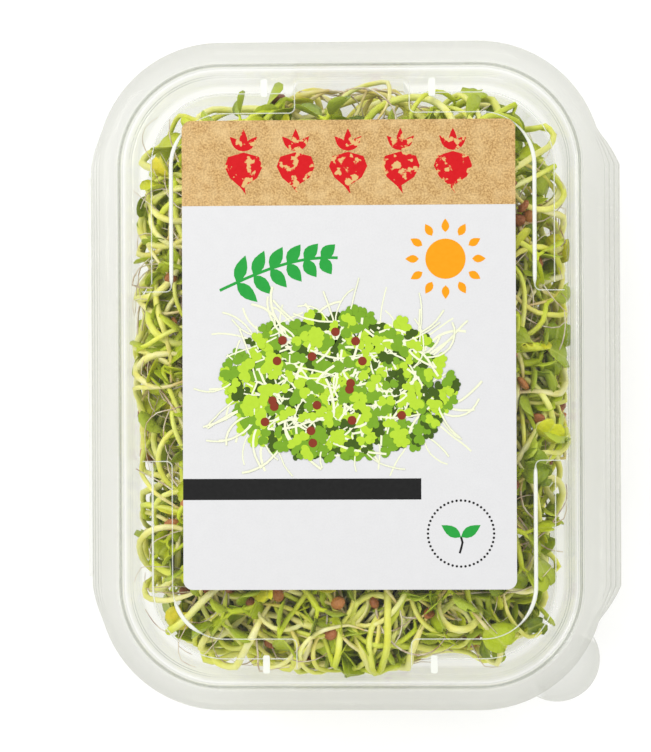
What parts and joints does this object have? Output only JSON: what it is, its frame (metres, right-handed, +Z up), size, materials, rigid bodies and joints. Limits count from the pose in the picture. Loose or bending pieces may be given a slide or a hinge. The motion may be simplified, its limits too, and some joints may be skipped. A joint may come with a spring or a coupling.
{
  "type": "radish sprouts in a hinged punnet",
  "caption": "Loose radish sprouts held in a clear rounded-rectangle punnet with a hinged plug lid, a corner finger tab and a flat label on its top",
  "frame": {"origin": "middle of the flat floor's underside, straight below the middle of the tub's opening", "axes": "+Y along the length, +X across from the hinge to the grip side, +Z up out of the opening"},
  "size_m": [0.1479, 0.187, 0.0446],
  "materials": {
    "clear_plastic": "clear thin sheet, glossy",
    "label_paper": "coated paper, satin",
    "sprout": "moist leaf and stem, semi-matte"
  },
  "bodies": {
    "tub_body": {"tub": "clear_plastic", "sprouts_01": "sprout", "sprouts_02": "sprout", "sprouts_03": "sprout", "sprouts_04": "sprout", "sprouts_05": "sprout", "sprouts_06": "sprout", "sprouts_07": "sprout", "sprouts_08": "sprout", "sprouts_09": "sprout", "sprouts_10": "sprout", "sprouts_11": "sprout", "sprouts_12": "sprout", "sprouts_13": "sprout", "sprouts_14": "sprout", "sprouts_15": "sprout", "sprouts_16": "sprout", "sprouts_17": "sprout", "sprouts_18": "sprout", "sprouts_19": "sprout", "sprouts_20": "sprout"},
    "lid_body": {"lid": "clear_plastic", "label": "label_paper"}
  },
  "joints": [
    {"name": "lid_hinge", "type": "hinge", "parent": "tub_body", "child": "lid_body", "pos_m": [-0.0729, 0, 0.04115], "axis": [0, -1, 0], "range_deg": [0, 180]}
  ]
}
